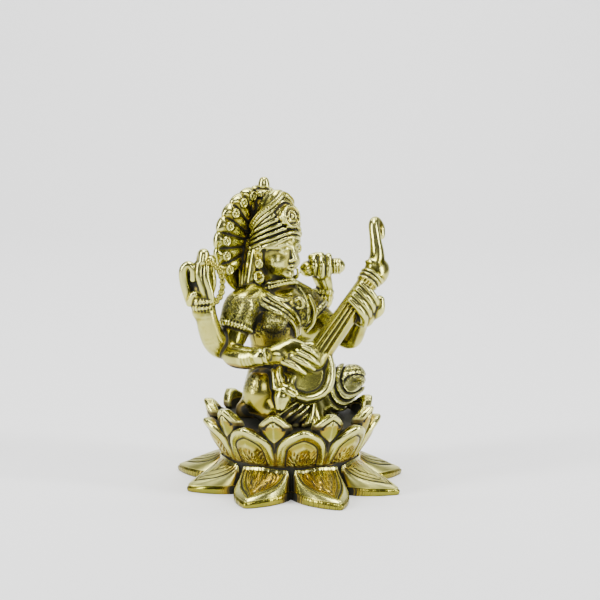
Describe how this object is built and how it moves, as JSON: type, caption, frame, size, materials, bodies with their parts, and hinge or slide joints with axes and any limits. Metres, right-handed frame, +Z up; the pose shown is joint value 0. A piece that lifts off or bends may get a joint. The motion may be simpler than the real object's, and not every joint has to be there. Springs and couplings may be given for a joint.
{
  "type": "saraswati figure",
  "caption": "Seated four-armed goddess in a tall crown with a fluted halo, playing a long-necked veena on a double lotus.",
  "frame": {"origin": "bottom centre of the lotus base, on the surface it stands on", "axes": "+Z up; the goddess faces -Y and her left hand side is +X"},
  "size_m": [0.087, 0.0869, 0.118],
  "materials": {
    "base_brass": "polished, dark patina in the cuts",
    "seat_brass": "polished, dark patina in the cuts",
    "figure_brass": "polished, dark patina in the carving"
  },
  "bodies": {
    "root": {"lotus_base": "base_brass", "lotus_seat": "seat_brass", "figure": "figure_brass"}
  },
  "joints": []
}
